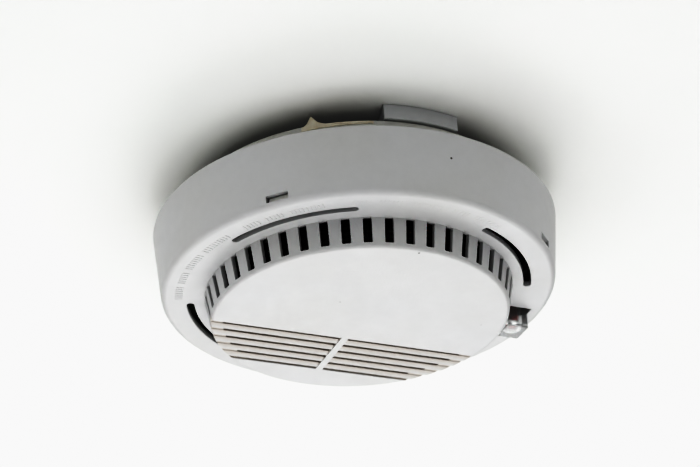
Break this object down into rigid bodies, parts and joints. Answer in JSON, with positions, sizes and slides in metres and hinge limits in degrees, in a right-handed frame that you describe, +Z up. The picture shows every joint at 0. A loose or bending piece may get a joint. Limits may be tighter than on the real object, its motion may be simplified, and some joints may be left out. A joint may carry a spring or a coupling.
{
  "type": "smoke detector",
  "caption": "Round ceiling smoke detector: louvred cover with clear test button, battery, horn and sensing chamber, twist-lock bracket.",
  "frame": {"origin": "centre of the mounting bracket's flat ceiling face", "axes": "+Z up into the ceiling, so the detector hangs below the origin; +X towards the test button and along the louvres; +Y towards the louvred half of the disc"},
  "size_m": [0.146, 0.146, 0.0507],
  "materials": {
    "cover_plastic": "fine moulded texture, off-white",
    "housing_plastic": "fine moulded texture, off-white",
    "bracket_plastic": "moulded, pale grey",
    "clear_plastic": "clear, polished",
    "black_plastic": "moulded, black",
    "board_laminate": "green solder mask over glass laminate",
    "chip_epoxy": "moulded, black",
    "capacitor_sleeve": "shrunk sleeve, dark blue",
    "capacitor_ceramic": "dipped, orange brown",
    "resistor_coat": "lacquered, tan",
    "lamp_epoxy": "clear red epoxy",
    "ceramic": "fired ceramic with silver face",
    "battery_jacket": "printed jacket, dark grey, plain",
    "wire_red": "vinyl, red",
    "wire_black": "vinyl, black",
    "steel": "zinc plated",
    "can_metal": "drawn, dull",
    "nickel": "nickel plated",
    "tinned_metal": "tinned",
    "spring_bronze": "rolled spring strip",
    "piezo_brass": "rolled sheet"
  },
  "bodies": {
    "bracket": {"mounting_bracket": "bracket_plastic"},
    "housing": {"rear_housing": "housing_plastic", "switch_post": "tinned_metal", "switch_contact_stud": "tinned_metal", "circuit_board": "board_laminate", "board_screw_1": "steel", "board_screw_2": "steel", "board_screw_3": "steel", "chamber_base": "black_plastic", "chamber_can": "can_metal", "chamber_electrode": "steel", "horn_case": "black_plastic", "piezo_plate": "piezo_brass", "piezo_ceramic": "ceramic", "lamp_lens": "lamp_epoxy", "lamp_leg_1": "tinned_metal", "lamp_leg_2": "tinned_metal", "alarm_chip": "chip_epoxy", "electrolytic_capacitor": "capacitor_sleeve", "ceramic_capacitor": "capacitor_ceramic", "resistor_1": "resistor_coat", "resistor_2": "resistor_coat", "resistor_3": "resistor_coat", "battery_contact_positive": "nickel", "battery_contact_negative": "nickel", "contact_holder": "black_plastic", "battery_wire_positive": "wire_red", "battery_wire_negative": "wire_black", "horn_wire_red": "wire_red", "horn_wire_black": "wire_black"},
    "battery": {"battery_case": "battery_jacket", "battery_terminal_positive": "nickel", "battery_terminal_negative": "nickel"},
    "cover": {"front_cover": "cover_plastic", "insect_screen": "black_plastic"},
    "button": {"test_button": "clear_plastic"},
    "switch_leaf": {"test_switch_leaf": "spring_bronze"}
  },
  "joints": [
    {"name": "twist_lock", "type": "hinge", "parent": "bracket", "child": "housing", "pos_m": [0, 0, 0], "axis": [0, 0, -1], "range_deg": [0, 15]},
    {"name": "cover_release", "type": "slide", "parent": "housing", "child": "cover", "axis": [0, 0, -1], "range_m": [0, 0.05]},
    {"name": "button_press", "type": "slide", "parent": "cover", "child": "button", "axis": [0, 0, 1], "range_m": [0, 0.0015], "stiffness_N_per_m": 900, "springref_m": -0.0003},
    {"name": "leaf_bend", "type": "hinge", "parent": "housing", "child": "switch_leaf", "pos_m": [0.0463, 0.0068, -0.0295], "axis": [0, -1, 0], "range_deg": [0, 8]},
    {"name": "battery_slide", "type": "slide", "parent": "housing", "child": "battery", "axis": [-1, 0, 0], "range_m": [0, 0.008]}
  ],
  "couplings": [
    {"joint": "leaf_bend", "follows": "button_press", "rad_per_m": 68.027}
  ]
}
